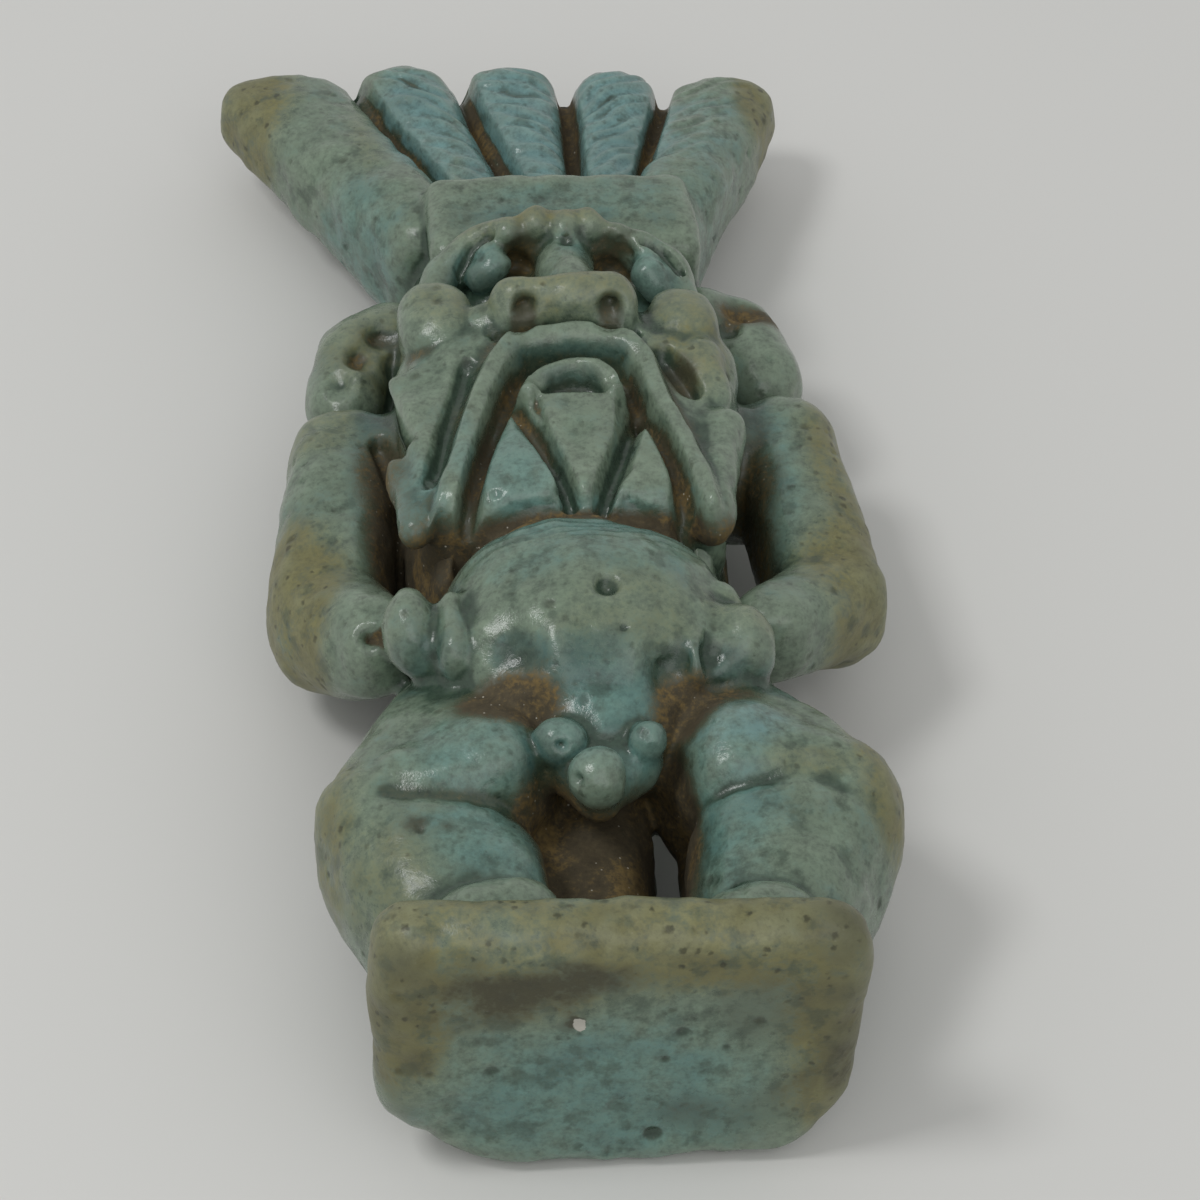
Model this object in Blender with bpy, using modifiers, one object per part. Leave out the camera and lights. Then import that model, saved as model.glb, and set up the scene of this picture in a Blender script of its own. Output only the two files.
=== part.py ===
"""Bes amulet of glazed faience, lying on its back.

The squat, bow-legged god stands on a small plinth with his fists on his hips, a lion's mask and mane,
his tongue out, and five tall feathers on a flat cap. Plinth, figure and crown are one moulded piece.
"""
import math

import bmesh
import bpy
import numpy as np
from mathutils import Vector

MM = 0.001

# All sizes below are millimetres. While the figure is being modelled, X runs to the viewer's right,
# Y from the underside of the plinth to the feather tips, and Z from the table to the figure's front.
CLAY_GRID = 0.3          # how finely the joined lumps are meshed
CLAY_SOFTENING = 6       # smoothing passes that round the joins, as a mould does
FACET_COUNT = 9400       # triangles of the finished solid
REST_DEPTH = 0.2         # how much the flat resting spots take off the underside and the back
CUT_TOLERANCE = 0.03     # points nearer than this to a flat spot's plane are taken to lie on it
SLIVER = 0.01            # edges shorter than this are dissolved
BALL_DETAIL = 3          # subdivisions of each lump
GLAZE_COLOUR = (0.11, 0.19, 0.15, 1.0)
GLAZE_ROUGHNESS = 0.4

# Every lump below is a ball of clay: its centre and its radii.

# Plinth: a thin block with rounded corners and a bulging rear edge, a little askew.
PLINTH_CORNERS = [
    ((-8.5, 1.6, 12.0), (2.2, 1.7, 2.4)), ((7.2, 1.2, 11.6), (2.3, 1.5, 2.4)),
    ((-7.0, 1.6, 5.5), (3.6, 1.7, 3.6)), ((5.6, 1.3, 5.2), (3.7, 1.6, 3.6)),
    ((-4.6, 1.3, 2.5), (3.2, 1.5, 2.3)), ((4.4, 1.2, 2.4), (3.4, 1.5, 2.2)),
    ((-0.5, 1.0, 1.25), (3.6, 1.12, 1.15)),
]
PLINTH_SQUARENESS = 0.8

# Legs, for the viewer's left and right.
LEGS = {
    "left": dict(
        hip=((-5.5, 17.2, 6.2), (4.3, 4.3, 4.4)),
        thigh=((-5.0, 13.7, 8.9), (2.2, 2.6, 3.2)),
        knee=((-8.8, 12.2, 6.6), (3.75, 3.6, 4.7)),
        shin=((-7.5, 10.2, 6.8), (4.5, 2.8, 4.5)),
        ankle=((-6.0, 4.8, 6.4), (3.5, 2.2, 4.2)),
        heel=((-5.7, 4.2, 4.0), (2.8, 2.0, 2.4)),
        toe=((-5.3, 4.6, 10.3), (2.6, 1.7, 1.7)),
    ),
    "right": dict(
        hip=((5.75, 16.2, 6.4), (3.75, 3.9, 4.2)),
        thigh=((5.5, 13.8, 8.9), (2.3, 2.9, 3.2)),
        knee=((9.0, 12.2, 6.6), (3.65, 3.3, 4.7)),
        shin=((7.25, 10.2, 6.8), (4.3, 2.9, 4.5)),
        ankle=((5.9, 4.8, 6.4), (3.2, 2.2, 4.2)),
        heel=((5.7, 4.2, 4.0), (2.6, 1.9, 2.4)),
        toe=((5.3, 3.9, 9.9), (2.5, 1.9, 1.9)),
    ),
}
LEG_SQUARENESS = 0.85
LEG_FILLINGS = [
    # roll over the left knee
    [((-4.8, 13.2, 10.5), (1.7, 1.5, 1.7)), ((-8.4, 13.2, 9.8), (2.2, 1.5, 1.7))],
    # top of the left hip
    [((-7.4, 20.2, 6.6), (1.5, 1.6, 2.2))],
    # inner side of the right leg
    [((4.9, 13.5, 4.0), (1.7, 2.0, 3.0)), ((4.8, 5.0, 4.0), (1.6, 1.5, 3.0))],
    # web between the tail and the left leg
    [((-3.2, 15.0, 4.0), (2.0, 2.5, 3.3)), ((-3.2, 4.0, 3.8), (2.0, 1.5, 3.1))],
]
TAIL = [((-0.4, 19.5, 3.8), (2.7, 2.0, 3.5)), ((-1.0, 3.0, 3.6), (2.4, 1.5, 3.4))]
TAIL_SQUARENESS = 0.75

# Trunk.
CHEST = ((-0.5, 29.8, 6.0), (7.3, 11.0, 5.2))
BELLY = ((-0.3, 21.3, 8.5), (6.7, 6.3, 6.1))
GROIN = ((0.0, 17.2, 9.1), (3.4, 3.6, 3.3))
TRUNK_SQUARENESS = 0.88
LOBES = [
    ((-0.65, 11.5, 11.5), (1.3, 1.25, 1.3)),
    ((-2.1, 13.9, 11.3), (1.05, 1.0, 1.05)),
    ((1.65, 13.8, 11.3), (0.85, 0.8, 0.95)),
]
LOBE_WEB = [((-1.6, 13.8, 9.8), (1.1, 1.3, 1.2)), ((1.2, 14.0, 9.8), (1.1, 1.3, 1.2)),
            ((-0.6, 12.0, 10.0), (1.0, 1.1, 1.2))]

# Arms.
ARMS = {
    "left": dict(
        shoulder=((-10.2, 36.9, 5.6), (2.7, 3.1, 3.6)),
        elbow=((-11.3, 28.6, 5.4), (2.8, 2.9, 3.5)),
        bend=((-11.2, 27.1, 5.7), (2.6, 2.1, 3.0)),
        wrist=((-9.4, 23.1, 8.4), (1.7, 1.9, 2.3)),
        fist=((-8.1, 21.1, 11.2), (1.25, 2.0, 2.0)),
        palm=((-7.1, 20.6, 10.8), (1.7, 1.8, 1.5)),
        fingers=[
            [((-6.2, 21.4, 11.8), (0.7, 0.9, 1.4)), ((-6.3, 19.0, 11.5), (0.7, 0.9, 1.4))],
            [((-4.9, 21.0, 12.0), (0.7, 0.9, 1.2)), ((-5.0, 19.4, 11.8), (0.6, 0.8, 1.1))],
        ],
    ),
    "right": dict(
        shoulder=((10.2, 36.8, 5.6), (2.4, 3.0, 3.6)),
        elbow=((11.1, 27.9, 5.6), (2.65, 2.3, 3.3)),
        bend=((11.4, 27.0, 6.1), (2.4, 1.9, 2.7)),
        wrist=((8.2, 23.1, 8.3), (1.9, 1.6, 2.3)),
        fist=((6.3, 19.7, 10.9), (1.45, 1.9, 2.0)),
        palm=((5.2, 19.3, 10.6), (1.7, 1.9, 1.6)),
        fingers=[
            [((4.0, 19.1, 11.8), (0.6, 0.8, 1.4)), ((3.8, 17.3, 11.6), (0.6, 0.8, 1.4))],
            [((5.2, 20.3, 11.5), (0.7, 0.9, 1.3)), ((5.1, 18.2, 11.2), (0.6, 0.8, 1.2))],
        ],
    ),
}
THUMB = ((5.5, 22.0, 11.4), (1.0, 0.8, 0.9))
ARMPIT = ((-8.0, 36.0, 5.3), (1.5, 3.0, 3.2))
ARM_SQUARENESS = 0.75

# Head, mane and mask.
NAPE = [((0.0, 46.5, 4.1), (8.0, 4.5, 4.2)), ((0.0, 38.5, 4.2), (8.6, 4.0, 4.3))]
SKULL = ((0.0, 44.0, 6.6), (7.6, 6.2, 4.6))
FOREHEAD = [((0.2, 48.0, 5.0), (7.3, 2.6, 3.9)), ((0.6, 51.0, 5.4), (6.9, 1.8, 3.9))]
MUZZLE = ((0.0, 38.6, 9.0), (7.4, 3.8, 4.8))
BEARD = [((0.0, 37.9, 9.2), (8.0, 2.6, 4.2)), ((-0.3, 28.3, 9.6), (6.9, 2.2, 3.8))]
BEARD_SQUARENESS = 0.6
MANE = [
    [((-8.2, 31.2, 11.2), (0.6, 0.8, 0.9)), ((-7.5, 26.8, 11.7), (0.7, 0.7, 0.8)),
     ((-6.2, 28.8, 12.1), (0.8, 0.9, 0.8))],
    [((6.6, 33.0, 11.4), (1.2, 1.0, 1.6)), ((5.6, 26.3, 12.0), (0.9, 0.9, 1.2))],
    [((-7.9, 36.5, 12.0), (0.4, 0.4, 0.5)), ((-4.9, 37.5, 12.4), (0.4, 0.4, 0.5)),
     ((-6.9, 29.6, 12.4), (0.4, 0.4, 0.5))],
]
EARS = {
    "left": [((-7.6, 46.2, 6.2), (1.5, 2.0, 2.2)), ((-9.4, 44.9, 6.0), (1.9, 2.6, 2.3)),
             ((-10.0, 42.2, 6.0), (1.8, 2.3, 2.2))],
    "right": [((7.4, 46.2, 6.2), (1.5, 2.6, 2.2)), ((8.9, 45.4, 6.0), (2.3, 2.9, 2.3)),
              ((9.7, 43.0, 6.0), (2.0, 2.7, 2.3))],
}
BROWS = {
    "left": [((0.6, 46.4, 12.2), (1.4, 1.3, 1.4)), ((-1.2, 46.9, 12.1), (1.2, 1.1, 1.3)),
             ((-3.4, 46.2, 11.7), (1.1, 1.0, 1.3)), ((-5.3, 45.0, 10.9), (1.0, 1.0, 1.3)),
             ((-6.3, 43.2, 10.1), (0.9, 1.0, 1.3))],
    "right": [((0.6, 46.4, 12.2), (1.4, 1.3, 1.4)), ((1.8, 46.6, 12.1), (1.2, 1.0, 1.3)),
              ((3.8, 45.7, 11.7), (1.1, 1.0, 1.3)), ((5.3, 44.7, 11.0), (1.0, 1.0, 1.3)),
              ((6.1, 42.9, 10.2), (0.9, 1.0, 1.3))],
}
BROW_KNOBS = [((-2.7, 46.9, 12.6), (0.7, 0.6, 0.7)), ((-0.9, 47.4, 12.8), (0.7, 0.6, 0.7)),
              ((1.5, 47.2, 12.8), (0.7, 0.6, 0.7)), ((3.6, 46.4, 12.6), (0.8, 0.6, 0.7))]
EYES = [[((-4.1, 44.5, 11.5), (0.8, 0.7, 0.9)), ((-3.1, 44.6, 11.8), (0.95, 0.85, 1.0))],
        [((4.0, 43.7, 11.7), (0.9, 0.85, 1.0)), ((4.6, 43.3, 11.5), (0.75, 0.75, 0.9))]]
NOSE = [((-2.2, 39.5, 13.5), (1.3, 1.3, 2.1)), ((2.1, 39.4, 13.5), (1.3, 1.3, 2.1))]
NOSE_FOLD = ((-3.7, 39.5, 12.7), (0.9, 1.1, 1.2))
BRIDGE = [((0.3, 40.0, 12.6), (1.6, 1.3, 2.0)), ((0.5, 45.8, 11.4), (1.3, 1.2, 1.7))]
CHEEKS = [((-5.7, 40.4, 11.9), (1.75, 2.0, 1.9)), ((5.5, 39.8, 11.9), (1.7, 2.0, 1.9))]
CHEEK_SQUARENESS = 0.8
JAW = [((6.0, 37.2, 11.8), (1.1, 1.2, 1.5)), ((6.4, 35.0, 11.4), (1.1, 1.4, 1.5))]

# Cap and crown. The cap is a box with rounded corners; each feather widens from its foot to its tip.
CAP = dict(x=(-4.9, 6.6), y=(49.2, 53.8), z=(3.0, 9.4), radii=(0.75, 0.75, 0.75))
CROWN_CORNERS = [(-5.8, 52.8), (-14.1, 66.8), (5.8, 52.8), (11.9, 65.9)]
CROWN_BACKING = dict(z=4.1, radii=(1.1, 1.1, 1.4), squareness=0.6)
FEATHERS = [
    [((-5.6, 53.2, 5.4), (2.2, 2.4, 3.7)), ((-12.2, 66.7, 4.6), (3.3, 2.0, 2.0))],
    [((-2.5, 56.0, 4.6), (1.5, 1.9, 2.2)), ((-6.1, 66.8, 4.6), (2.45, 2.0, 2.2))],
    [((0.6, 56.0, 4.6), (1.3, 1.9, 2.2)), ((-0.65, 66.6, 4.6), (2.4, 2.0, 2.2))],
    [((3.7, 56.0, 4.6), (1.4, 1.9, 2.2)), ((4.85, 66.1, 4.6), (2.25, 2.0, 2.2))],
    [((5.8, 53.0, 5.4), (1.7, 2.4, 3.7)), ((10.2, 65.45, 4.6), (2.9, 1.9, 2.0))],
]
FEATHER_SQUARENESS = 0.85

# Low relief, drawn as seen from the front. Each stroke is (line, half-width, height).
STROKE_EDGE = 0.5
PANEL_EDGE = 0.5
RELIEF_FLOOR = 8.0       # nothing behind this depth is carved on the figure,
CROWN_RELIEF_FLOOR = 3.5  # or behind this one on the crown,
CROWN_START = 56.0       # which starts here
FLOOR_FADE = 0.8
FACING_LEAST = -0.1      # how far the surface may turn from the front and still take relief
FACING_FADE = 0.5
STROKES = [
    # moustache arch
    ([(-6.4, 25.8), (-5.8, 28.3), (-4.9, 31.3), (-4.1, 34.0), (-3.3, 36.0), (-2.4, 37.1), (0.1, 37.3),
      (1.5, 37.2), (2.7, 36.8), (3.3, 36.0), (3.6, 34.3), (3.9, 32.5), (4.6, 30.6), (5.0, 28.7),
      (5.3, 26.2)], 0.85, 0.95),
    # upper lip
    ([(-2.2, 32.7), (-1.9, 33.8), (-1.1, 34.6), (0.0, 34.9), (1.2, 34.7), (1.9, 34.2), (2.1, 33.0)],
     0.65, 1.0),
    # mouth slit
    ([(-1.2, 33.7), (0.1, 33.9), (1.5, 33.5)], 0.4, -0.8),
    # furrow inside the moustache
    ([(-5.4, 26.2), (-4.9, 28.2), (-4.0, 31.2), (-3.1, 33.9), (-2.4, 35.4), (-1.6, 35.9), (0.1, 36.1),
      (1.7, 35.9), (2.5, 35.3), (2.7, 34.1), (3.1, 32.3), (3.8, 30.2), (4.25, 28.4), (4.4, 26.6)],
     0.65, -0.9),
    # furrows on both sides of the tongue
    ([(-2.6, 33.0), (-1.9, 31.2), (-1.2, 28.9), (-0.7, 26.8)], 0.6, -0.9),
    ([(2.7, 32.8), (2.1, 30.6), (1.4, 28.5), (0.7, 26.6)], 0.6, -0.9),
    # furrow outside the moustache, left
    ([(-4.5, 37.1), (-5.0, 35.0), (-5.6, 33.0), (-6.5, 29.6)], 0.6, -0.9),
    # step down beside the lock left of the moustache
    ([(-8.7, 36.0), (-8.1, 33.8), (-7.7, 32.2)], 0.6, -0.7),
    # grooves between the feathers
    ([(-8.5, 67.5), (-7.3, 64.0), (-4.7, 58.6)], 0.65, -0.95),
    ([(-3.1, 68.0), (-2.4, 64.0), (-0.9, 58.6)], 0.65, -0.95),
    ([(2.2, 68.0), (2.3, 64.0), (2.2, 58.6)], 0.65, -0.95),
    ([(7.4, 67.0), (6.8, 64.0), (5.5, 58.4)], 0.65, -0.95),
    # folds between thigh and calf
    ([(-3.6, 11.6), (-5.6, 11.4), (-8.1, 11.5), (-9.4, 11.7)], 0.6, -0.5),
    ([(3.0, 11.3), (5.3, 11.5), (7.8, 11.7), (10.6, 10.6)], 0.8, -0.25),
    # hollows of the lower belly
    ([(-3.9, 17.9), (-3.0, 18.6)], 1.0, -0.6),
    ([(2.4, 17.0), (2.8, 17.7)], 0.9, -0.6),
]
PANELS = [
    # tongue
    ([(-1.8, 33.1), (2.2, 32.8), (1.6, 30.7), (0.8, 28.7), (0.2, 26.7), (-0.3, 26.9), (-0.7, 29.0),
      (-1.3, 31.2)], 0.55),
    # beard lappets
    ([(-2.9, 32.7), (-3.9, 30.3), (-4.4, 28.1), (-4.6, 26.4), (-3.2, 26.7), (-1.5, 26.8), (-1.2, 27.6),
      (-2.0, 29.9), (-2.7, 31.3)], 0.4),
    ([(3.0, 31.4), (3.5, 30.1), (3.8, 28.6), (3.8, 27.1), (3.7, 26.1), (2.8, 26.6), (1.7, 27.1),
      (1.1, 26.4), (2.1, 28.5), (2.7, 30.5)], 0.4),
]
# Nostrils, pressed straight in: centre, radius and depth.
NOSTRILS = [((-1.8, 38.8, 15.0), 1.3, 1.1), ((2.0, 38.9, 14.9), 1.2, 1.1)]


def ball(bm, centre, radii, squareness=1.0):
    """Points of an ellipsoid; squareness under 1 flattens its sides towards a box."""
    made = bmesh.ops.create_icosphere(bm, subdivisions=BALL_DETAIL, radius=1.0)["verts"]
    for vertex in made:
        vertex.co = Vector([
            (middle + radius * math.copysign(abs(unit) ** squareness, unit)) * MM
            for middle, radius, unit in zip(centre, radii, vertex.co)
        ])
    return made


def hull(bm, balls, squareness=1.0):
    """Skin stretched over several balls of clay."""
    loose = bmesh.new()
    for centre, radii in balls:
        ball(loose, centre, radii, squareness)
    points = [vertex.co.copy() for vertex in loose.verts]
    loose.free()
    vertices = [bm.verts.new(point) for point in points]
    skin = bmesh.ops.convex_hull(bm, input=vertices)
    inside = set(skin["geom_interior"]) | set(skin["geom_unused"])
    bmesh.ops.delete(bm, geom=[item for item in inside if isinstance(item, bmesh.types.BMVert)], context="VERTS")


def limb(bm, balls, squareness=1.0):
    """A rounded limb that tapers from each ball to the next."""
    for pair in zip(balls, balls[1:]):
        hull(bm, pair, squareness)


def add_plinth(bm):
    hull(bm, PLINTH_CORNERS, PLINTH_SQUARENESS)


def add_legs(bm):
    for leg in LEGS.values():
        for lump in (("hip", "thigh", "knee"), ("knee", "shin", "ankle"), ("heel", "toe")):
            hull(bm, [leg[name] for name in lump], LEG_SQUARENESS)
    for lump in LEG_FILLINGS:
        hull(bm, lump)
    hull(bm, TAIL, TAIL_SQUARENESS)


def add_trunk(bm):
    for lump in (CHEST, BELLY, GROIN):
        ball(bm, *lump, TRUNK_SQUARENESS)
    for lump in LOBES:
        ball(bm, *lump)
    hull(bm, LOBE_WEB)


def add_arms(bm):
    for arm in ARMS.values():
        limb(bm, [arm["shoulder"], arm["elbow"]], ARM_SQUARENESS)
        limb(bm, [arm["elbow"], arm["bend"], arm["wrist"]], ARM_SQUARENESS)
        for lump in ("fist", "palm"):
            ball(bm, *arm[lump])
        for finger in arm["fingers"]:
            hull(bm, finger)
    ball(bm, *THUMB)
    ball(bm, *ARMPIT)
    hull(bm, [ARMS["left"]["shoulder"], ARMS["right"]["shoulder"]])


def add_head(bm):
    hull(bm, NAPE)
    hull(bm, FOREHEAD, TRUNK_SQUARENESS)
    hull(bm, BEARD, BEARD_SQUARENESS)
    for lump in MANE + EYES + [NOSE, BRIDGE, JAW]:
        hull(bm, lump)
    for chain in list(EARS.values()) + list(BROWS.values()):
        limb(bm, chain)
    for lump in BROW_KNOBS + [SKULL, MUZZLE, NOSE_FOLD]:
        ball(bm, *lump)
    for lump in CHEEKS:
        ball(bm, *lump, CHEEK_SQUARENESS)


def add_crown(bm):
    hull(bm, [((x, y, z), CAP["radii"]) for x in CAP["x"] for y in CAP["y"] for z in CAP["z"]])
    backing = CROWN_BACKING
    hull(bm, [((x, y, backing["z"]), backing["radii"]) for x, y in CROWN_CORNERS], backing["squareness"])
    for feather in FEATHERS:
        hull(bm, feather, FEATHER_SQUARENESS)


def ease(t):
    """Smooth step from 0 to 1."""
    t = np.clip(t, 0.0, 1.0)
    return t * t * (3.0 - 2.0 * t)


def distance_to_line(points, line):
    """Distance of each point to a line of several stretches."""
    nearest = np.full(len(points), np.inf)
    for start, end in zip(line, line[1:]):
        start, end = np.array(start), np.array(end)
        along = end - start
        t = np.clip((points - start) @ along / (along @ along), 0.0, 1.0)
        nearest = np.minimum(nearest, np.linalg.norm(points - start - t[:, None] * along, axis=1))
    return nearest


def inside_panel(points, corners):
    """How far each point lies inside an outline, negative outside."""
    outline = np.array(corners)
    crossings = np.zeros(len(points), dtype=bool)
    for a, b in zip(outline, np.roll(outline, -1, axis=0)):
        spans = (a[1] > points[:, 1]) != (b[1] > points[:, 1])
        if spans.any():
            crossings ^= spans & (points[:, 0] < a[0] + (b[0] - a[0]) * (points[:, 1] - a[1]) / (b[1] - a[1]))
    edge = distance_to_line(points, list(corners) + [corners[0]])
    return np.where(crossings, edge, -edge)


def read_points(mesh):
    points = np.empty(len(mesh.vertices) * 3)
    mesh.vertices.foreach_get("co", points)
    return points.reshape(-1, 3) / MM


def write_points(mesh, points):
    mesh.vertices.foreach_set("co", (points * MM).ravel())
    mesh.update()


def read_normals(mesh):
    normals = np.empty(len(mesh.vertices) * 3)
    mesh.vertices.foreach_get("normal", normals)
    return normals.reshape(-1, 3)


def carve(mesh):
    """Draws the low relief on the front."""
    points = read_points(mesh)
    facing = ease((read_normals(mesh)[:, 2] - FACING_LEAST) / FACING_FADE)
    floor = np.where(points[:, 1] > CROWN_START, CROWN_RELIEF_FLOOR, RELIEF_FLOOR)
    flat = points[:, :2]
    rise = np.zeros(len(points))
    for line, width, height in STROKES:
        rise += height * ease((width - distance_to_line(flat, line)) / STROKE_EDGE)
    for corners, height in PANELS:
        rise += height * ease(inside_panel(flat, corners) / PANEL_EDGE + 0.5)
    for centre, radius, depth in NOSTRILS:
        rise -= depth * ease(1.0 - np.linalg.norm(points - np.array(centre), axis=1) / radius)
    points[:, 2] += rise * facing * ease((points[:, 2] - floor) / FLOOR_FADE)
    write_points(mesh, points)


def bake(piece):
    """Replaces an object's mesh by what its modifiers make of it."""
    evaluated = piece.evaluated_get(bpy.context.evaluated_depsgraph_get())
    mesh = bpy.data.meshes.new_from_object(evaluated)
    piece.modifiers.clear()
    old, piece.data = piece.data, mesh
    bpy.data.meshes.remove(old)


def soften(piece, passes):
    remesh = piece.modifiers.new("clay", "REMESH")
    remesh.mode = "VOXEL"
    remesh.voxel_size = CLAY_GRID * MM
    smooth = piece.modifiers.new("soften", "SMOOTH")
    smooth.factor = 0.5
    smooth.iterations = passes
    bake(piece)


def facet(piece):
    triangles = sum(len(face.vertices) - 2 for face in piece.data.polygons)
    decimate = piece.modifiers.new("facets", "DECIMATE")
    decimate.ratio = FACET_COUNT / triangles
    bake(piece)


def lay_flat(piece):
    """Cuts the resting spots flat, and sets the origin under the middle of the piece."""
    points = read_points(piece.data)
    low = points.min(axis=0)
    bm = bmesh.new()
    bm.from_mesh(piece.data)
    for axis in (1, 2):
        level = [0.0, 0.0, 0.0]
        level[axis] = (low[axis] + REST_DEPTH) * MM
        normal = [0.0, 0.0, 0.0]
        normal[axis] = 1.0
        cut = bmesh.ops.bisect_plane(
            bm, geom=bm.verts[:] + bm.edges[:] + bm.faces[:], dist=CUT_TOLERANCE * MM,
            plane_co=level, plane_no=normal, clear_inner=True)
        rim = [item for item in cut["geom_cut"] if isinstance(item, bmesh.types.BMEdge)]
        for vertex in {vertex for edge in rim for vertex in edge.verts}:
            vertex.co[axis] = level[axis]
        bmesh.ops.holes_fill(bm, edges=rim)
    bmesh.ops.dissolve_degenerate(bm, dist=SLIVER * MM, edges=bm.edges)
    bmesh.ops.triangulate(bm, faces=bm.faces)
    bm.to_mesh(piece.data)
    bm.free()
    points = read_points(piece.data)
    low, high = points.min(axis=0), points.max(axis=0)
    middle = (low + high) / 2
    write_points(piece.data, points - [middle[0], middle[1], low[2]])


def glaze():
    """Turquoise faience glaze, worn to a dull green."""
    material = bpy.data.materials.new("glazed_faience")
    material.use_nodes = True
    shader = material.node_tree.nodes["Principled BSDF"]
    shader.inputs["Base Color"].default_value = GLAZE_COLOUR
    shader.inputs["Roughness"].default_value = GLAZE_ROUGHNESS
    shader.inputs["Metallic"].default_value = 0.0
    return material


def main():
    for thing in list(bpy.data.objects):
        bpy.data.objects.remove(thing, do_unlink=True)
    collection = bpy.data.collections.new("bes_figurine")
    bpy.context.scene.collection.children.link(collection)

    bm = bmesh.new()
    for add in (add_plinth, add_legs, add_trunk, add_arms, add_head, add_crown):
        add(bm)
    mesh = bpy.data.meshes.new("bes_figurine")
    bm.to_mesh(mesh)
    bm.free()
    figure = bpy.data.objects.new("bes_figurine", mesh)
    collection.objects.link(figure)

    soften(figure, CLAY_SOFTENING)
    carve(figure.data)
    soften(figure, 1)
    facet(figure)
    lay_flat(figure)
    figure.data.materials.clear()
    figure.data.materials.append(glaze())
    figure.data.shade_smooth()


main()
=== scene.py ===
import math
from functools import partial

import bpy
import numpy as np
from mathutils import Matrix, Vector


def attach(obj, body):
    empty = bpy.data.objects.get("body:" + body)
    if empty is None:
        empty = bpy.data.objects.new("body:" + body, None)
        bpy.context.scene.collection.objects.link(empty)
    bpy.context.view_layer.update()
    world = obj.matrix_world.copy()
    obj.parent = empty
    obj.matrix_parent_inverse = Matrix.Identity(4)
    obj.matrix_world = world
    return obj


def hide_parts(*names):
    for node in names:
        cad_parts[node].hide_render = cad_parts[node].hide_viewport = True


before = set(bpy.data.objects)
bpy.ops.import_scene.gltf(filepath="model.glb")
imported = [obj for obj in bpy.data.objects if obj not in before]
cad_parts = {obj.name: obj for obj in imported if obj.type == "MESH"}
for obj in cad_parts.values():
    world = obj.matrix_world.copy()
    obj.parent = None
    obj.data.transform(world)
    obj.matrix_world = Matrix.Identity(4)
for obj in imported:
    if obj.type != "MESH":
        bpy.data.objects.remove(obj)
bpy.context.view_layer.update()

mm = 0.001

# the furrow that runs inside the moustache arch and between the beard lappets
furrowLine = [(-5.4, 26.2), (-4.9, 28.2), (-4.0, 31.2), (-3.1, 33.9), (-2.5, 35.4), (-1.6, 36.2),
              (0.1, 36.4), (1.7, 36.2), (2.5, 35.3), (2.7, 34.1), (3.1, 32.3), (3.8, 30.2),
              (4.25, 28.4), (4.4, 26.6)]

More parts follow.
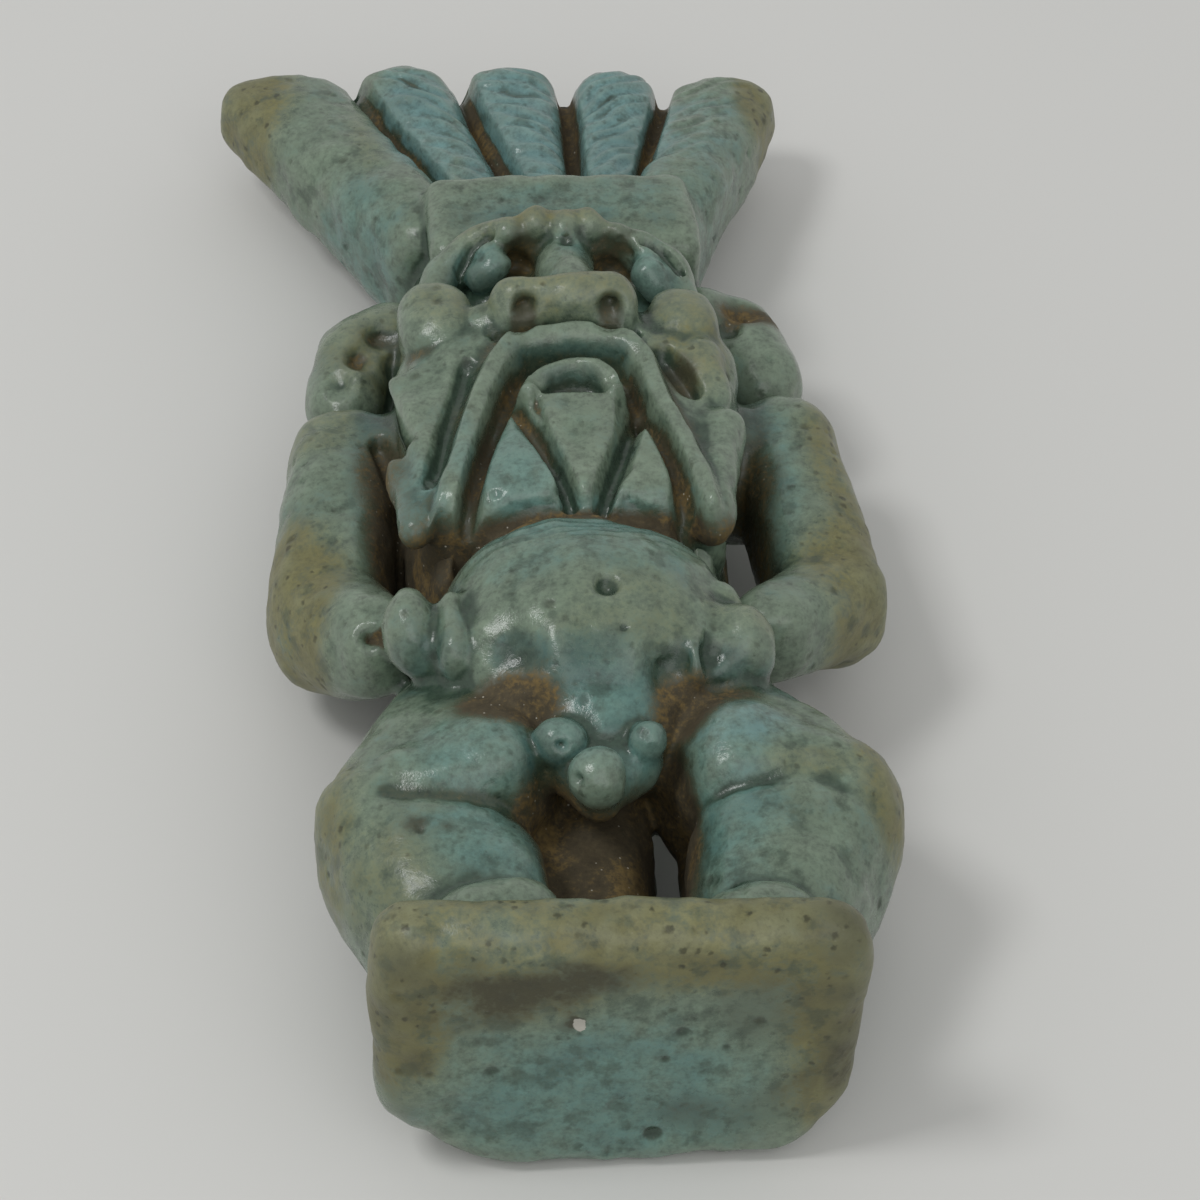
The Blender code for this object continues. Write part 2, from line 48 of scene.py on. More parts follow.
# The figure in its own millimetres: X to the viewer's right, Y from the plinth's underside to the
# feather tips, Z out of the front. toRow moves it to the row frame.
figure = dict(
    toRow=(0.805, -34.33, -0.113),
    ballDetail=4,
    clayGrid=0.2,
    claySoftening=9,
    reliefGrid=0.13,
    reliefSoftening=2,
    triangles=192000,
    restLevel=(-0.099, 0.113),  # lowest Y and Z: the flats it stands and lies on
    # slow and quick unevenness of the hand-pressed clay: size and height
    unevenness=[(4.0, 0.6), (1.5, 0.22), (0.6, 0.06)],
    # name, how the balls are joined, squareness (1 is round), [(centre, radii)]
    lumps=[
        ("plinth", "hull", 0.8, [
            ((-8.5, 1.6, 12), (2.2, 1.7, 2.4)), ((7.2, 1.2, 11.6), (2.3, 1.5, 2.4)),
            ((-7, 1.6, 5.5), (3.6, 1.7, 3.6)), ((5.6, 1.3, 5.2), (3.7, 1.6, 3.6)),
            ((-4.6, 1.3, 2.5), (3.2, 1.5, 2.3)), ((4.4, 1.2, 2.4), (3.4, 1.5, 2.2)),
            ((-0.5, 1, 1.25), (3.6, 1.12, 1.15))]),
        ("leftThigh", "hull", 0.85, [
            ((-5.5, 17.2, 6.2), (4.3, 4.3, 4.4)), ((-5, 13.7, 8.9), (2.2, 2.6, 3.2)),
            ((-8.8, 12.2, 6.6), (3.75, 3.6, 4.7))]),
        ("leftThighRoll", "hull", 1, [
            ((-4.8, 13.2, 10.5), (1.7, 1.5, 1.7)), ((-8.4, 13.2, 9.8), (2.2, 1.5, 1.7))]),
        ("leftCalf", "hull", 0.85, [
            ((-8.8, 12.2, 6.6), (3.75, 3.6, 4.7)), ((-7.5, 10.2, 6.8), (4.5, 2.8, 4.5)),
            ((-5.3, 8.6, 8.2), (2.4, 2.6, 2.9)), ((-6, 4.8, 6.4), (3.5, 2.2, 4.2))]),
        ("leftFoot", "hull", 0.85, [
            ((-5.7, 4.2, 4), (2.8, 2, 2.4)), ((-5.3, 4.6, 10.3), (2.6, 1.7, 1.7))]),
        ("rightThigh", "hull", 0.85, [
            ((5.75, 16.2, 6.4), (3.75, 3.9, 4.2)), ((5.5, 13.8, 8.9), (2.3, 2.9, 3.2)),
            ((9, 12.2, 6.6), (3.65, 3.3, 4.7))]),
        ("rightCalf", "hull", 0.85, [
            ((9, 12.2, 6.6), (3.65, 3.3, 4.7)), ((7.25, 10.2, 6.8), (4.3, 2.9, 4.5)),
            ((5.9, 4.8, 6.4), (3.2, 2.2, 4.2))]),
        ("rightInnerLeg", "hull", 1, [((4.9, 13.5, 4), (1.7, 2, 3)), ((4.8, 5, 4), (1.6, 1.5, 3))]),
        ("rightFoot", "hull", 0.85, [
            ((5.7, 4.2, 4), (2.6, 1.9, 2.4)), ((5.3, 3.9, 9.9), (2.5, 1.9, 1.9))]),
        ("tail", "hull", 0.75, [((-0.4, 19.5, 3.8), (2.7, 2, 3.5)), ((-1, 3, 3.6), (2.4, 1.5, 3.4))]),
        ("tailWeb", "hull", 1, [((-3.2, 15, 4), (2, 2.5, 3.3)), ((-3.2, 4, 3.8), (2, 1.5, 3.1))]),
        ("chest", "hull", 0.88, [((-0.5, 29.8, 6), (7.3, 11, 5.2))]),
        ("belly", "hull", 0.88, [((-0.3, 21.3, 8.5), (6.7, 6.3, 6.1))]),
        ("groin", "hull", 0.88, [((0, 17.2, 9.1), (3.4, 3.6, 3.3))]),
        ("lobeWeb", "hull", 1, [
            ((-1.6, 13.8, 9.8), (1.1, 1.3, 1.2)), ((1.2, 14, 9.8), (1.1, 1.3, 1.2)),
            ((-0.6, 12, 10), (1, 1.1, 1.2))]),
        ("lobe", "hull", 1, [((-0.65, 11.5, 11.5), (1.3, 1.25, 1.3))]),
        ("lobeLeft", "hull", 1, [((-2.1, 13.9, 11.3), (1.05, 1, 1.05))]),
        ("lobeRight", "hull", 1, [((1.65, 13.8, 11.3), (0.85, 0.8, 0.95))]),
        ("leftUpperArm", "limb", 0.75, [
            ((-10.2, 36.9, 5.6), (2.7, 3.1, 3.6)), ((-11.3, 28.6, 5.4), (2.8, 2.9, 3.5))]),
        ("leftForearm", "limb", 0.75, [
            ((-11.3, 28.6, 5.4), (2.8, 2.9, 3.5)), ((-11.2, 27.1, 5.7), (2.6, 2.1, 3)),
            ((-9.4, 23.1, 8.4), (1.7, 1.9, 2.3))]),
        ("leftFist", "hull", 1, [((-8.1, 21.1, 11.2), (1.25, 2, 2))]),
        ("leftFinger", "hull", 1, [
            ((-6.2, 21.4, 11.8), (0.7, 0.9, 1.4)), ((-6.3, 19, 11.5), (0.7, 0.9, 1.4))]),
        ("leftSecondFinger", "hull", 1, [
            ((-4.9, 21, 12), (0.7, 0.9, 1.2)), ((-5, 19.4, 11.8), (0.6, 0.8, 1.1))]),
        ("leftPalm", "hull", 1, [((-7.1, 20.6, 10.8), (1.7, 1.8, 1.5))]),
        ("leftArmpit", "hull", 1, [((-8, 36, 5.3), (1.5, 3, 3.2))]),
        ("leftHip", "hull", 1, [((-7.4, 20.2, 6.6), (1.5, 1.6, 2.2))]),
        ("rightUpperArm", "limb", 0.75, [
            ((10.2, 36.8, 5.6), (2.4, 3, 3.6)), ((11.1, 27.9, 5.6), (2.65, 2.3, 3.3))]),
        ("rightForearm", "limb", 0.75, [
            ((11.1, 27.9, 5.6), (2.65, 2.3, 3.3)), ((11.4, 27, 6.1), (2.4, 1.9, 2.7)),
            ((8.2, 23.1, 8.3), (1.9, 1.6, 2.3))]),
        ("rightFist", "hull", 1, [((6.3, 19.7, 10.9), (1.45, 1.9, 2))]),
        ("rightFinger", "hull", 1, [
            ((4, 19.1, 11.8), (0.6, 0.8, 1.4)), ((3.8, 17.3, 11.6), (0.6, 0.8, 1.4))]),
        ("rightSecondFinger", "hull", 1, [
            ((5.2, 20.3, 11.5), (0.7, 0.9, 1.3)), ((5.1, 18.2, 11.2), (0.6, 0.8, 1.2))]),
        ("rightPalm", "hull", 1, [((5.2, 19.3, 10.6), (1.7, 1.9, 1.6))]),
        ("thumb", "hull", 1, [((5.5, 22, 11.4), (1, 0.8, 0.9))]),
        ("shoulders", "hull", 1, [
            ((-10.2, 36.9, 5.6), (2.7, 3.1, 3.6)), ((10.2, 36.8, 5.6), (2.4, 3, 3.6))]),
        ("nape", "hull", 1, [((0, 46.5, 4.1), (8, 4.5, 4.2)), ((0, 38.5, 4.2), (8.6, 4, 4.3))]),
        ("skull", "hull", 1, [((0, 44, 6.6), (7.6, 6.2, 4.6))]),
        ("forehead", "hull", 0.88, [((0.2, 48, 5), (7.3, 2.6, 3.9)), ((0.6, 51, 5.4), (6.9, 1.8, 3.9))]),
        ("muzzle", "hull", 1, [((0, 38.6, 9), (7.4, 3.8, 4.8))]),
        ("beard", "hull", 0.6, [((0, 37.9, 9.2), (8, 2.6, 4.2)), ((-0.3, 28.3, 9.6), (6.9, 2.2, 3.8))]),
        ("maneLeft", "hull", 1, [
            ((-8.2, 31.2, 11.2), (0.6, 0.8, 0.9)), ((-7.5, 26.8, 11.7), (0.7, 0.7, 0.8)),
            ((-6.2, 28.8, 12.1), (0.8, 0.9, 0.8))]),
        ("maneRight", "limb", 1, [((6.6, 33, 11.4), (1.2, 1, 1.6)), ((5.6, 26.3, 12), (0.9, 0.9, 1.2))]),
        ("leftEar", "limb", 1, [
            ((-7.6, 46.2, 6.2), (1.5, 2, 2.2)), ((-9.4, 44.9, 6), (1.9, 2.6, 2.3)),
            ((-10, 42.2, 6), (1.8, 2.3, 2.2))]),
        ("rightEar", "limb", 1, [
            ((7.4, 46.2, 6.2), (1.5, 2.6, 2.2)), ((8.9, 45.4, 6), (2.3, 2.9, 2.3)),
            ((9.7, 43, 6), (2, 2.7, 2.3))]),
        ("leftBrow", "limb", 1, [
            ((0.6, 46.4, 12.2), (1.4, 1.3, 1.4)), ((-1.2, 46.7, 12.1), (1.2, 1, 1.3)),
            ((-3.4, 46.4, 11.9), (1.1, 0.85, 1.3)), ((-5.3, 45.3, 11), (1, 1, 1.3)),
            ((-6.3, 43.2, 10.1), (0.9, 1, 1.3))]),
        ("rightBrow", "limb", 1, [
            ((0.6, 46.4, 12.2), (1.4, 1.3, 1.4)), ((1.8, 46.4, 12.1), (1.2, 0.95, 1.3)),
            ((3.8, 45.8, 11.9), (1.1, 0.85, 1.3)), ((5.5, 44.9, 11.1), (1, 1, 1.3)),
            ((6.1, 42.9, 10.2), (0.9, 1, 1.3))]),
        ("nose", "hull", 1, [
            ((-2.2, 39.5, 13.5), (1.3, 1.3, 2.1)), ((2.1, 39.4, 13.5), (1.3, 1.3, 2.1))]),
        ("bridge", "hull", 1, [((0.3, 40, 12.6), (1.6, 1.3, 2)), ((0.5, 45.8, 11.4), (1.3, 1.2, 1.7))]),
        ("leftEye", "hull", 1, [
            ((-3.5, 44.6, 11.6), (0.75, 0.75, 0.9)), ((-2.95, 44.8, 12), (0.85, 0.85, 0.9))]),
        ("rightEye", "hull", 1, [
            ((4.3, 43.85, 12), (0.95, 0.9, 0.9)), ((4.7, 43.5, 11.6), (0.8, 0.8, 0.9))]),
        ("leftCheek", "hull", 0.8, [((-5.8, 40.3, 11.9), (1.85, 2.25, 1.95))]),
        ("rightCheek", "hull", 0.8, [((5.5, 39.8, 11.9), (1.7, 2, 1.9))]),
        ("leftNoseFold", "hull", 1, [((-3.7, 39.5, 12.7), (0.9, 1.1, 1.2))]),
        ("rightJaw", "hull", 1, [((6, 37.2, 11.8), (1.1, 1.2, 1.5)), ((6.4, 35, 11.4), (1.1, 1.4, 1.5))]),
        ("maneLock", "hull", 1, [
            ((-7.9, 36.5, 12), (0.4, 0.4, 0.5)), ((-4.9, 37.5, 12.4), (0.4, 0.4, 0.5)),
            ((-6.9, 29.6, 12.4), (0.4, 0.4, 0.5))]),
        ("browKnobs", "loose", 1, [
            ((-3.4, 46, 12.4), (0.6, 0.8, 0.8)), ((-2.2, 46.2, 12.9), (0.65, 0.85, 0.85)),
            ((-0.9, 46.5, 13.1), (0.75, 0.9, 0.9)), ((0.5, 46.1, 13.3), (0.65, 0.85, 0.7)),
            ((1.7, 46.3, 13.1), (0.75, 0.85, 0.9)), ((3, 45.8, 12.9), (0.6, 0.8, 0.8)),
            ((4.2, 45.4, 12.5), (0.65, 0.85, 0.8))]),
        ("cap", "hull", 1, [
            ((x, y, z), (0.75, 0.75, 0.75)) for x in (-4.9, 6.6) for y in (49.2, 53.8)
            for z in (3, 9.4)]),
        ("crownBack", "hull", 0.6, [
            ((-5.8, 52.8, 4.1), (1.1, 1.1, 1.4)), ((-14.1, 66.8, 4.1), (1.1, 1.1, 1.4)),
            ((5.8, 52.8, 4.1), (1.1, 1.1, 1.4)), ((11.9, 65.9, 4.1), (1.1, 1.1, 1.4))]),
        ("feather1", "hull", (0.85, 0.85, 0.6), [
            ((-5.6, 53.2, 5.4), (2.2, 2.4, 3.7)), ((-12.2, 66.7, 4.6), (3.3, 2, 2))]),
        ("feather2", "hull", (0.85, 0.85, 0.6), [
            ((-2.5, 56, 4.6), (1.5, 1.9, 2.2)), ((-6.1, 66.8, 4.6), (2.45, 2, 2.2))]),
        ("feather3", "hull", (0.85, 0.85, 0.6), [
            ((0.6, 56, 4.6), (1.3, 1.9, 2.2)), ((-0.65, 66.6, 4.6), (2.4, 2, 2.2))]),
        ("feather4", "hull", (0.85, 0.85, 0.6), [
            ((3.7, 56, 4.6), (1.4, 1.9, 2.2)), ((4.85, 66.1, 4.6), (2.25, 2, 2.2))]),
        ("feather5", "hull", (0.85, 0.85, 0.6), [
            ((5.8, 53, 5.4), (1.7, 2.4, 3.7)), ((10.2, 65.45, 4.6), (2.9, 1.9, 2))]),
    ],
    # relief drawn from the front: line, half-width, edge, height
    strokes=[
        # moustache arch
        ([(-6.4, 25.8), (-5.8, 28.3), (-4.9, 31.3), (-4.1, 34.0), (-3.3, 36.1), (-2.4, 37.3),
          (0.1, 37.55), (1.5, 37.45), (2.7, 37.0), (3.3, 36.0), (3.6, 34.3), (3.9, 32.5), (4.6, 30.6),
          (5.0, 28.7), (5.3, 26.2)], 0.8, 0.5, 0.85),
        # upper lip
        ([(-2.1, 33.7), (-1.8, 34.4), (-1.1, 35.1), (0.0, 35.4), (1.1, 35.2), (1.7, 34.6), (1.9, 33.8)],
          0.65, 0.4, 0.9),
        # mouth slit
        ([(-1.3, 34.2), (0.1, 34.6), (1.4, 34.2)], 0.8, 0.5, -0.5),
        # furrow inside the moustache
        (furrowLine, 0.6, 0.4, -0.8),
        # slope down to it from the moustache and the lip
        (furrowLine[2:11], 1.4, 1.2, -0.35),
        # furrows on both sides of the tongue
        ([(-2.6, 33.0), (-1.9, 31.2), (-1.2, 28.9), (-0.7, 26.8)], 0.5, 0.35, -0.75),
        ([(2.7, 32.8), (2.1, 30.6), (1.4, 28.5), (0.7, 26.6)], 0.5, 0.35, -0.75),
        # furrow outside the moustache, left
        ([(-4.7, 36.2), (-5.1, 34.6), (-5.7, 32.6), (-6.5, 29.6)], 0.75, 0.7, -0.6),
        # slot right of the moustache
        ([(4.3, 36.8), (4.8, 35.9), (5.3, 34.7)], 0.75, 0.55, -0.95),
        # step down beside the lock left of the moustache
        ([(-8.7, 36.0), (-8.1, 33.8), (-7.7, 32.2)], 0.6, 0.4, -0.7),
        # shade line between the nose and the moustache
        ([(-3.2, 38.0), (0.0, 38.1), (3.1, 38.0)], 0.4, 0.35, -0.5),
        # socket round each eye
        ([(-4.5, 44.8), (-3.9, 45.6), (-3.1, 45.9)], 0.4, 0.35, -0.6),
        ([(4.2, 45.2), (5.0, 45.0), (5.8, 44.2)], 0.4, 0.35, -0.6),
        # grooves between the feathers
        ([(-8.5, 67.5), (-7.3, 64.0), (-4.7, 58.6)], 0.6, 0.4, -0.9),
        ([(-3.1, 68.0), (-2.4, 64.0), (-0.9, 58.6)], 0.6, 0.4, -0.9),
        ([(2.2, 68.0), (2.3, 64.0), (2.2, 58.6)], 0.6, 0.4, -0.9),
        ([(7.4, 67.0), (6.8, 64.0), (5.5, 58.4)], 0.6, 0.4, -0.9),
        # folds between thigh and calf
        ([(-3.6, 11.5), (-5.6, 11.3), (-8.1, 11.5), (-9.4, 11.7)], 1.0, 1.0, -0.35),
        ([(3.0, 11.3), (5.3, 11.5), (7.8, 11.7), (10.6, 10.6)], 0.8, 0.7, -0.2),
    ],
    # raised panels: outline, edge, height
    panels=[
        # tongue
        ([(-1.7, 33.7), (1.9, 33.5), (1.6, 30.7), (0.8, 28.7), (0.2, 26.7), (-0.3, 26.9), (-0.7, 29.0),
          (-1.3, 31.2)], 0.25, 0.5),
        # beard lappets
        ([(-2.9, 32.7), (-3.9, 30.3), (-4.4, 28.1), (-4.6, 26.4), (-3.2, 26.7), (-1.5, 26.8),
          (-1.2, 27.6), (-2.0, 29.9), (-2.7, 31.3)], 0.25, 0.4),
        ([(3.0, 31.4), (3.5, 30.1), (3.8, 28.6), (3.8, 27.1), (3.7, 26.1), (2.8, 26.6), (1.7, 27.1),
          (1.1, 26.4), (2.1, 28.5), (2.7, 30.5)], 0.25, 0.4),
    ],
    # combed surfaces: outline, direction of the lines in degrees, spacing, depth
    combed=[
        ([(-8.2, 67.8), (-4.2, 67.8), (-2.0, 57.5), (-3.9, 57.5)], -28, 0.95, 0.15),
        ([(-2.7, 68.0), (1.5, 68.0), (1.7, 57.5), (-0.5, 57.5)], -22, 0.95, 0.15),
        ([(2.7, 68.0), (7.0, 67.5), (4.9, 57.5), (2.7, 57.5)], 28, 0.85, 0.15),
        ([(7.8, 67.0), (12.0, 66.5), (8.0, 57.5), (5.9, 57.5)], 30, 0.95, 0.1),
        ([(-4.5, 26.6), (0.0, 28.2), (5.0, 26.6), (5.6, 23.2), (-5.6, 23.2)], 3, 0.55, 0.07),
    ],
    # lowest Z that the relief reaches, on the body and from featherStart up on the crown
    reliefFloor=8.0,
    featherFloor=3.5,
    featherStart=56,
    floorFade=0.8,
    facing=(-0.1, 0.4),  # forward lean of a surface at which the relief starts and is full
    combSway=[(1.1, 1.9, 1.3), (0.8, -0.9, 3.1)],  # size, turns across and along
    combEdge=0.5,
    # dents pushed in along the surface: centre, radius, depth
    dents=[
        # nostrils
        ((-2.15, 37.8, 14.7), 0.9, 0.8), ((-2.0, 38.4, 14.8), 0.85, 0.6), ((-1.8, 39.0, 14.7), 0.85, 0.6),
        ((1.85, 37.7, 14.7), 0.9, 0.8), ((2.0, 38.3, 14.8), 0.85, 0.6), ((2.2, 38.9, 14.7), 0.85, 0.6),
        # deep corners of the eyes and the hollow between the brows
        ((-1.9, 46.1, 11.7), 1.2, 0.7), ((2.9, 45.8, 11.7), 1.1, 0.7), ((-2.2, 45.7, 12.7), 1.0, 0.35),
        ((2.9, 45.3, 12.7), 1.0, 0.35), ((0.5, 44.9, 13.4), 0.6, 0.4),
        # ears
        ((-8.3, 44.6, 8.2), 1.1, 0.6), ((-9.3, 43.2, 8.2), 1.2, 0.65), ((-10.3, 41.6, 7.9), 1.1, 0.5),
        ((9.1, 45.9, 8.0), 1.5, 0.9), ((8.3, 44.4, 8.3), 0.9, 0.5),
        # cheek fold and mane
        ((-3.6, 38.2, 13.7), 0.4, 0.3), ((-6.8, 29.0, 12.9), 0.7, 0.5),
        # hollows of the belly, the navel, the scar under it and the hole in the forearm
        ((-3.7, 18.0, 12.6), 2.2, 0.6), ((2.7, 17.2, 12.2), 1.8, 0.7), ((4.9, 17.8, 12.3), 1.2, 0.5),
        ((0.35, 20.2, 14.4), 0.8, 0.65), ((0.9, 18.1, 13.8), 0.4, 0.25), ((-9.8, 21.7, 10.3), 0.9, 0.7),
        # shallow waves and pits under the plinth
        ((-4.0, 0.0, 8.0), 4.0, 0.12), ((4.0, 0.0, 9.0), 3.5, 0.1), ((1.0, 0.0, 3.5), 2.5, 0.1),
        ((0.9, -0.1, 2.1), 0.7, 0.28), ((-5.8, -0.1, 6.5), 0.5, 0.15), ((1.9, -0.1, 8.4), 0.5, 0.15),
        ((-7.1, -0.1, 13.4), 0.7, 0.15), ((-9.6, -0.1, 11.2), 0.5, 0.14), ((-2.3, -0.1, 9.1), 0.45, 0.16),
        # pits in the lobes and the calf
        ((-2.1, 12.9, 12.0), 0.5, 0.45), ((-1.6, 10.9, 12.0), 0.5, 0.5), ((-8.2, 9.2, 11.1), 0.4, 0.2),
    ],
    # where the glaze has drowned the modelling: centre, radii
    drowned=[((-0.5, 18.5, 12), (9.5, 3.6, 3.5)), ((-7.4, 28.5, 12), (1.6, 3, 2))],
    drownedSoftening=6,
    # burst bubbles, scattered
    bubbles=420,
    bubbleRadius=0.34,
    bubbleDepth=0.13,
    bubbleSeed=7,
)


def pick(pieces):
    bpy.ops.object.select_all(action="DESELECT")
    for piece in pieces:
        piece.select_set(True)
    bpy.context.view_layer.objects.active = pieces[0]


def readPoints(piece):
    points = np.empty(len(piece.data.vertices) * 3)
    piece.data.vertices.foreach_get("co", points)
    return points.reshape(-1, 3) / mm


def writePoints(piece, points):
    piece.data.vertices.foreach_set("co", (points * mm).ravel())
    piece.data.update()


def readNormals(piece):
    normals = np.empty(len(piece.data.vertices) * 3)
    piece.data.vertices.foreach_get("normal", normals)
    return normals.reshape(-1, 3)


def readEdges(piece):
    edges = np.empty(len(piece.data.edges) * 2, dtype=np.int32)
    piece.data.edges.foreach_get("vertices", edges)
    return edges.reshape(-1, 2)


def applyModifier(piece, kind, **settings):
    pick([piece])
    modifier = piece.modifiers.new(kind.lower(), kind)
    for key, value in settings.items():
        setattr(modifier, key, value)
    bpy.ops.object.modifier_apply(modifier=modifier.name)


# a ball of clay, squared off where squareness is below 1
def addBall(centre, radii, squareness):
    bpy.ops.object.select_all(action="DESELECT")
    detail = figure["ballDetail"]
    bpy.ops.mesh.primitive_ico_sphere_add(subdivisions=detail, radius=mm, location=(0, 0, 0))
    ball = bpy.context.object
    unit = readPoints(ball)
    squared = np.sign(unit) * np.abs(unit) ** np.array(squareness)
    writePoints(ball, squared * np.array(radii) + np.array(centre))
    return ball


def joinPieces(pieces, name):
    pick(pieces)
    if len(pieces) > 1:
        bpy.ops.object.join()
    joined = bpy.context.view_layer.objects.active
    joined.name = name
    return joined


# a skin drawn tight over a few balls
def addHull(name, squareness, balls):
    piece = joinPieces([addBall(centre, radii, squareness) for centre, radii in balls], name)
    bpy.ops.object.mode_set(mode="EDIT")
    bpy.ops.mesh.select_all(action="SELECT")
    bpy.ops.mesh.convex_hull()
    bpy.ops.object.mode_set(mode="OBJECT")
    return piece


def placeLumps():
    pieces = []
    for name, how, squareness, balls in figure["lumps"]:
        chains = [balls]
        if how == "limb":
            chains = list(zip(balls, balls[1:]))
        elif how == "loose":
            chains = [[ball] for ball in balls]
        pieces += [addHull(name, squareness, chain) for chain in chains]
    print("lumps placed", len(pieces))
    return joinPieces(pieces, "besFigure")


def ease(t):
    t = np.clip(t, 0.0, 1.0)
    return t * t * (3.0 - 2.0 * t)


def lineDistance(points, line):
    nearest = np.full(len(points), np.inf)
    for start, end in zip(line, line[1:]):
        start, end = np.array(start), np.array(end)
        along = end - start
        t = np.clip((points - start) @ along / (along @ along), 0.0, 1.0)
        nearest = np.minimum(nearest, np.linalg.norm(points - start - t[:, None] * along, axis=1))
    return nearest


# how far each point lies inside an outline, negative outside
def panelDepth(points, corners):
    x, y = points.T
    inside = np.zeros(len(points), dtype=bool)
    for (startX, startY), (endX, endY) in zip(corners, corners[1:] + corners[:1]):
        if startY != endY:
            crossing = startX + (endX - startX) * (y - startY) / (endY - startY)
            inside ^= ((startY > y) != (endY > y)) & (x < crossing)
    edge = lineDistance(points, corners + corners[:1])
    return np.where(inside, edge, -edge)


# fine parallel lines, drawn a little unsteadily
def combing(flat, corners, angle, spacing, depth):
    across = Vector((-math.sin(math.radians(angle)), math.cos(math.radians(angle))))
    phase = 2 * math.pi * (flat @ across) / spacing
    for size, turnsX, turnsY in figure["combSway"]:
        phase = phase + size * np.sin(turnsX * flat[:, 0] + turnsY * flat[:, 1])
    fade = ease(panelDepth(flat, corners) / figure["combEdge"] + 0.3)
    return depth * 0.5 * np.sin(phase) * fade


# raises and sinks the relief in what faces forwards
def carveFront(piece):
    everything = readPoints(piece)
    aside, forwards = figure["facing"]
    facing = ease((readNormals(piece)[:, 2] - aside) / (forwards - aside))
    front = np.flatnonzero(facing)
    points, facing = everything[front], facing[front]
    flat = points[:, :2]
    rise = np.zeros(len(points))
    for line, width, edge, height in figure["strokes"]:
        rise += height * ease((width - lineDistance(flat, line)) / edge)
    for corners, edge, height in figure["panels"]:
        rise += height * ease(panelDepth(flat, corners) / edge + 0.5)
    for comb in figure["combed"]:
        rise += combing(flat, *comb)
    onCrown = points[:, 1] > figure["featherStart"]
    floor = np.where(onCrown, figure["featherFloor"], figure["reliefFloor"])
    everything[front, 2] += rise * facing * ease((points[:, 2] - floor) / figure["floorFade"])
    writePoints(piece, everything)


def pressDents(piece):
    points, normals = readPoints(piece), readNormals(piece)
    push = np.zeros(len(points))
    for centre, radius, depth in figure["dents"]:
        push += depth * ease(1.0 - np.linalg.norm(points - np.array(centre), axis=1) / radius)
    writePoints(piece, points - normals * push[:, None])


def burstBubbles(piece):
    points, normals = readPoints(piece), readNormals(piece)
    radius = figure["bubbleRadius"]
    chance = np.random.default_rng(figure["bubbleSeed"])
    order = np.argsort(points[:, 0])  # sorted across, so that only a slice is searched
    across = points[order, 0]
    for centre in points[chance.integers(0, len(points), figure["bubbles"])]:
        size = chance.uniform(0.35, 1.0) ** 2
        first, last = np.searchsorted(across, (centre[0] - radius, centre[0] + radius))
        near = order[first:last]
        reach = np.linalg.norm(points[near] - centre, axis=1) / (radius * size)
        points[near] -= normals[near] * (figure["bubbleDepth"] * size * ease(1.0 - reach))[:, None]
    writePoints(piece, points)


# softens the places where the glaze ran thick
def drown(piece):
    points = readPoints(piece)
    share = np.zeros(len(points))
    for centre, radii in figure["drowned"]:
        reach = np.linalg.norm((points - np.array(centre)) / np.array(radii), axis=1)
        share = np.maximum(share, ease(2.0 - 1.4 * reach))  # full to 0.7 of the radii, gone at 1.4
    group = piece.vertex_groups.new(name="drowned")
    steps = 5
    for step in range(1, steps + 1):
        members = np.flatnonzero(np.round(share * steps) == step)
        group.add(members.tolist(), step / steps, "REPLACE")
    rounds = figure["drownedSoftening"]
    applyModifier(piece, "SMOOTH", factor=0.5, iterations=rounds, vertex_group="drowned")
    piece.vertex_groups.clear()


def roughen(piece):
    for size, height in figure["unevenness"]:
        clouds = bpy.data.textures.new("unevenClay", "CLOUDS")
        clouds.noise_scale = size * mm
        applyModifier(piece, "DISPLACE", texture=clouds, texture_coords="LOCAL", strength=height * mm,
                      mid_level=0.5)


def layFlat(piece):
    points = readPoints(piece)
    for axis, level in zip((1, 2), figure["restLevel"]):
        points[:, axis] = np.maximum(points[:, axis], level)
    writePoints(piece, points)


# averages values over neighbouring points
def spread(values, edges, times):
    count = len(values)
    degree = np.bincount(edges.ravel(), minlength=count)[:, None] + 1.0
    for _ in range(times):
        total = values.copy()
        for axis in range(values.shape[1]):
            total[:, axis] += np.bincount(edges[:, 0], values[edges[:, 1], axis], count)
            total[:, axis] += np.bincount(edges[:, 1], values[edges[:, 0], axis], count)
        values = total / degree
    return values


